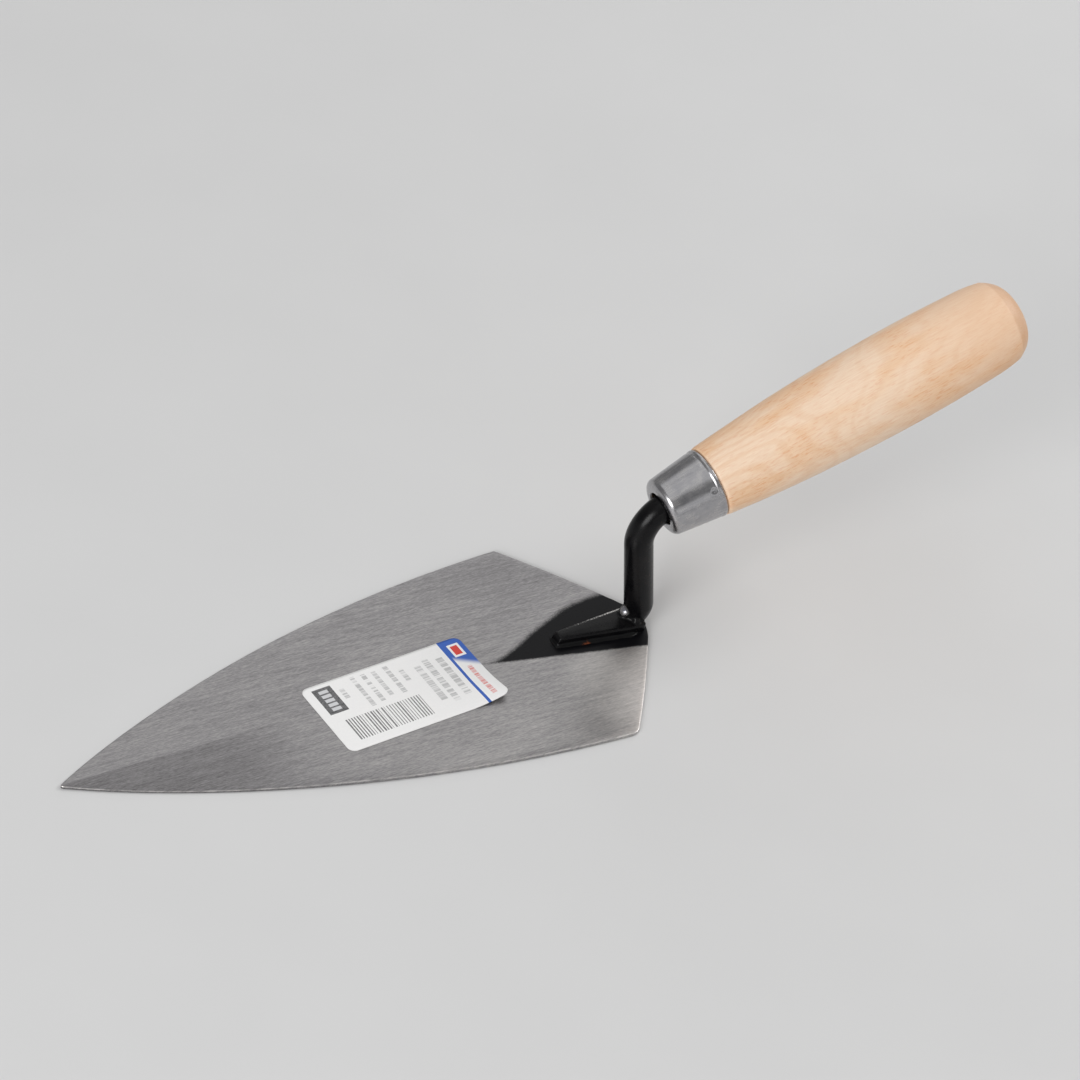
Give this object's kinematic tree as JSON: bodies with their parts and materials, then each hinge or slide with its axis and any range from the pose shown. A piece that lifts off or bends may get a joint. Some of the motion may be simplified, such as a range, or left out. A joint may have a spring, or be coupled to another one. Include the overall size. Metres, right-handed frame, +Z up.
{
  "type": "pointing trowel",
  "caption": "Flat leaf-shaped steel trowel blade with a ground centre ridge, a forged bent tang, a steel ferrule and a turned wooden handle that rises behind it.",
  "frame": {"origin": "on the blade's flat underside, on the centreline, between the two shoulders", "axes": "+Z up from the blade's underside, -X towards the tip, +X towards the handle"},
  "size_m": [0.2834, 0.0762, 0.0901],
  "materials": {
    "blade_steel": "ground steel with fine lengthwise grinding lines, bare apart from black paint round the tongue",
    "black_paint": "gloss black paint over forged steel",
    "braze_metal": "brazed bead, painted black, with bare copper-coloured spots",
    "zinc_steel": "satin zinc-coated steel",
    "light_wood": "pale turned hardwood, lightly sealed",
    "label_paper": "white label stock with a blue band and plain grey bars"
  },
  "bodies": {
    "root": {"blade": "blade_steel", "tang": "black_paint", "braze_seam": "braze_metal", "ferrule": "zinc_steel", "handle": "light_wood", "label": "label_paper"}
  },
  "joints": []
}
